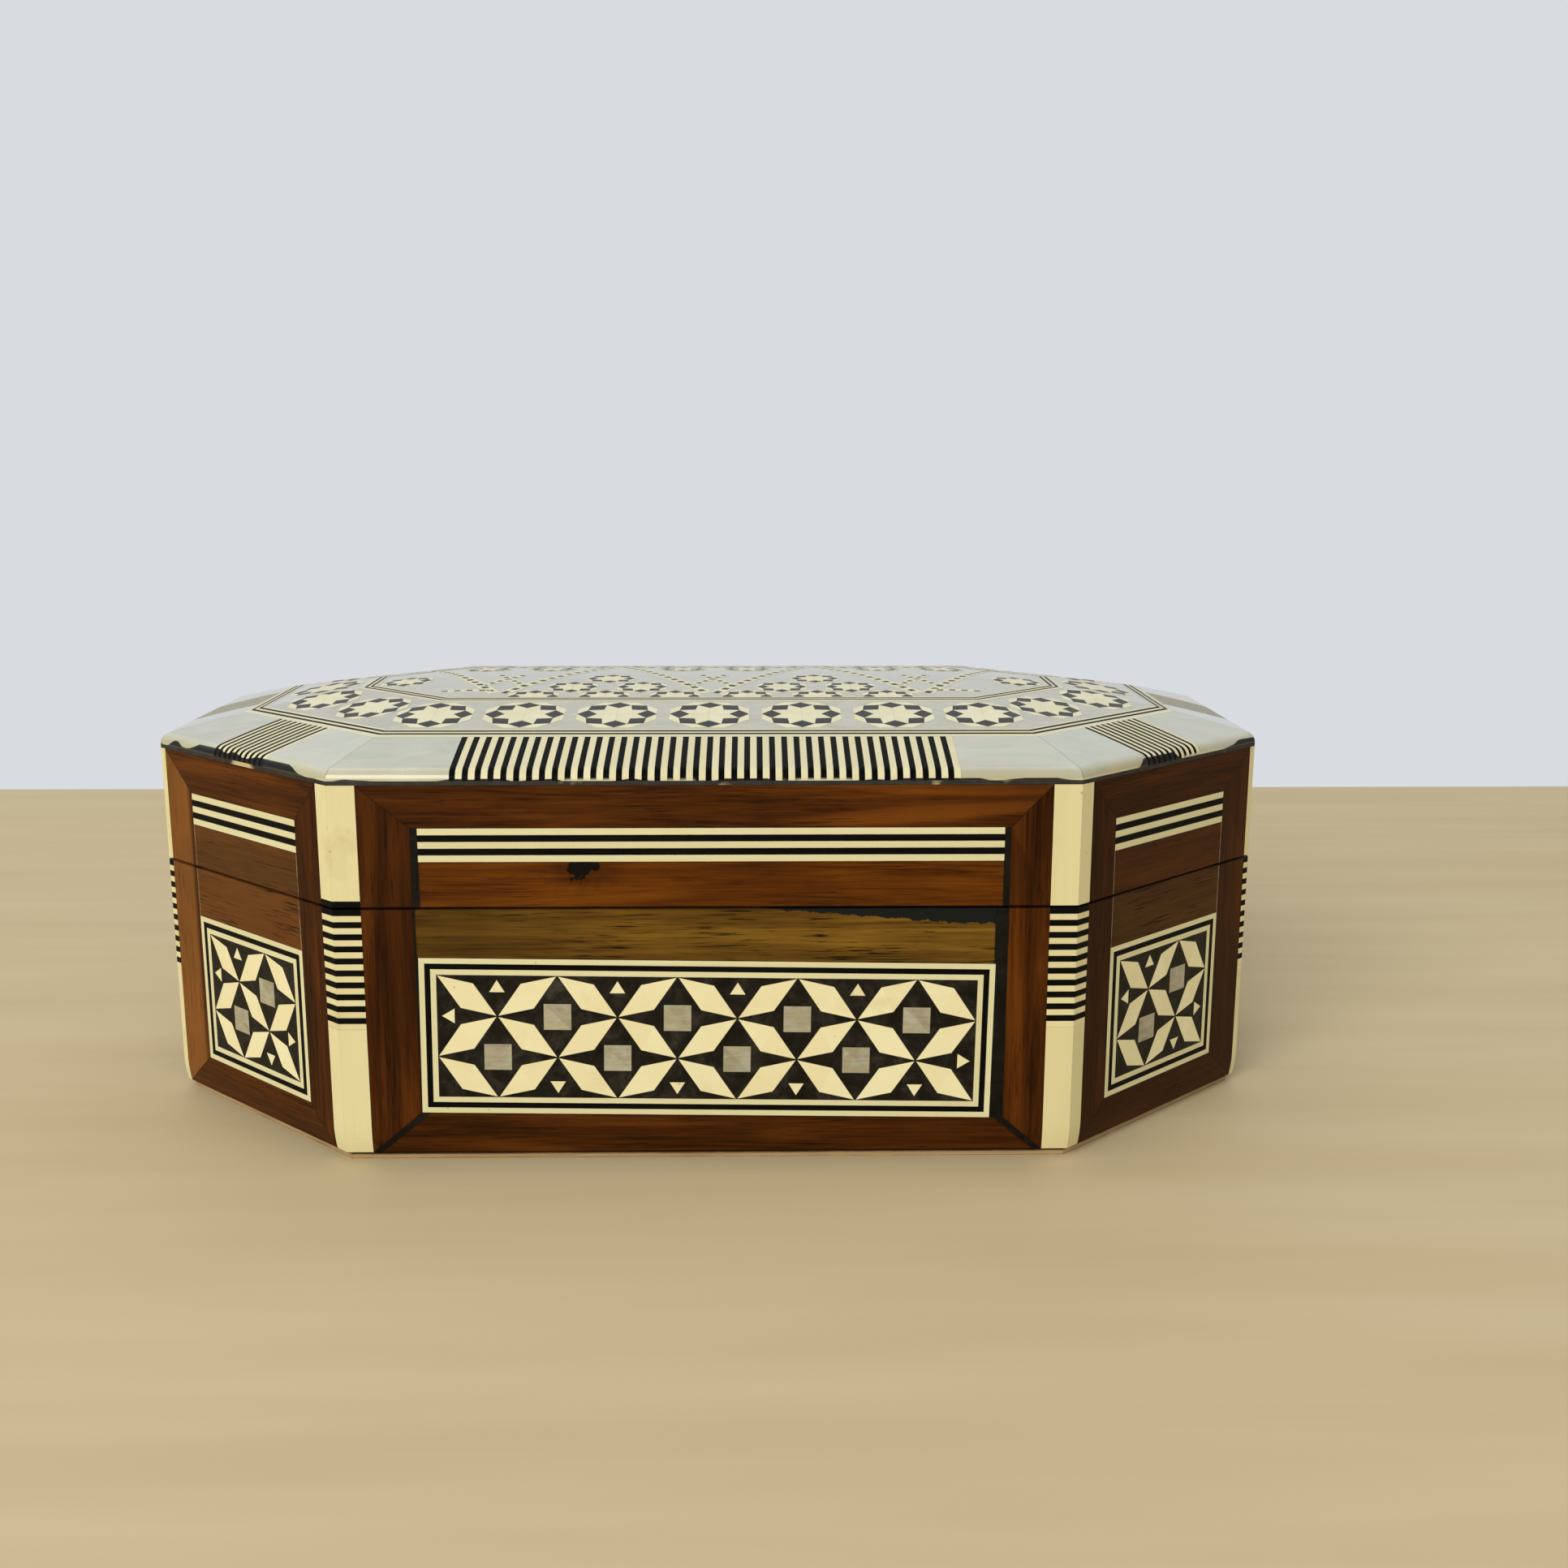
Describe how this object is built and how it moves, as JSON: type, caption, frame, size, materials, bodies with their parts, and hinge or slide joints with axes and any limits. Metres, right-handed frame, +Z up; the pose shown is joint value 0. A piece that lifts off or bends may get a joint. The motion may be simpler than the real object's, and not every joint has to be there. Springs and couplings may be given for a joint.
{
  "type": "inlaid jewelry box",
  "caption": "Eight-sided wooden jewelry box inlaid with bone and mother-of-pearl, with a gently domed lid on concealed rear hinges",
  "frame": {"origin": "centre of the underside of the bottom board, level with the surface that the box stands on", "axes": "+X runs along the box to its right as seen from the front, -Y points out of the front, +Z is up"},
  "size_m": [0.198, 0.112, 0.0747],
  "materials": {
    "carcass_wood": "dark stained",
    "board_wood": "raw",
    "rail_wood": "varnished",
    "stile_wood": "varnished",
    "base_strip_wood": "varnished",
    "lid_strip_wood": "varnished",
    "corner_bone": "varnished bone",
    "line_bone": "varnished bone",
    "line_ebony": "black stained, varnished",
    "leaf_bone": "varnished bone",
    "grey_pearl": "polished shell",
    "dark_ground": "varnished dark resin",
    "mastic": "black filler",
    "gap_filler": "dark filler with dust in it",
    "border_pearl": "varnished shell",
    "striped_blocks": "varnished bone and ebony bars",
    "crown_stringing": "varnished bone and ebony lines",
    "star_band": "varnished shell with star tiles",
    "centre_field": "varnished shell with banded tiles",
    "lining_velvet": "short pile",
    "hinge_brass": "satin",
    "pin_brass": "satin"
  },
  "bodies": {
    "base": {"base_bottom_board": "board_wood", "base_corner_strips": "corner_bone", "base_fillers": "gap_filler", "base_floor": "board_wood", "base_lining": "lining_velvet", "base_rails": "rail_wood", "base_stiles": "stile_wood", "base_top_strips": "base_strip_wood", "base_wall_front": "carcass_wood", "base_wall_front_left": "carcass_wood", "base_wall_front_right": "carcass_wood", "base_wall_left": "carcass_wood", "base_wall_rear": "carcass_wood", "base_wall_rear_left": "carcass_wood", "base_wall_rear_right": "carcass_wood", "base_wall_right": "carcass_wood", "hinge_base_leaf_left": "hinge_brass", "hinge_base_leaf_right": "hinge_brass", "hinge_pin_left": "pin_brass", "hinge_pin_right": "pin_brass", "panel_grounds": "dark_ground", "panel_leaves_bone": "leaf_bone", "panel_lines_bone": "line_bone", "panel_lines_ebony": "line_ebony", "panel_squares_pearl": "grey_pearl"},
    "lid": {"hinge_lid_leaf_left": "hinge_brass", "hinge_lid_leaf_right": "hinge_brass", "lid_board": "carcass_wood", "lid_border_blocks": "striped_blocks", "lid_border_pearl": "border_pearl", "lid_centre_field": "centre_field", "lid_corner_strips": "corner_bone", "lid_fillers": "gap_filler", "lid_inner_stringing": "crown_stringing", "lid_lining": "lining_velvet", "lid_lower_strips": "lid_strip_wood", "lid_mastic_line": "mastic", "lid_outer_stringing": "crown_stringing", "lid_rails": "rail_wood", "lid_star_band": "star_band", "lid_stiles": "stile_wood", "lid_stringing_bone": "line_bone", "lid_stringing_ebony": "line_ebony", "lid_wall_front": "carcass_wood", "lid_wall_front_left": "carcass_wood", "lid_wall_front_right": "carcass_wood", "lid_wall_left": "carcass_wood", "lid_wall_rear": "carcass_wood", "lid_wall_rear_left": "carcass_wood", "lid_wall_rear_right": "carcass_wood", "lid_wall_right": "carcass_wood"}
  },
  "joints": [
    {"name": "lid_hinge", "type": "hinge", "parent": "base", "child": "lid", "pos_m": [0, 0.0543, 0.0443], "axis": [-1, 0, 0], "range_deg": [0, 100]}
  ]
}
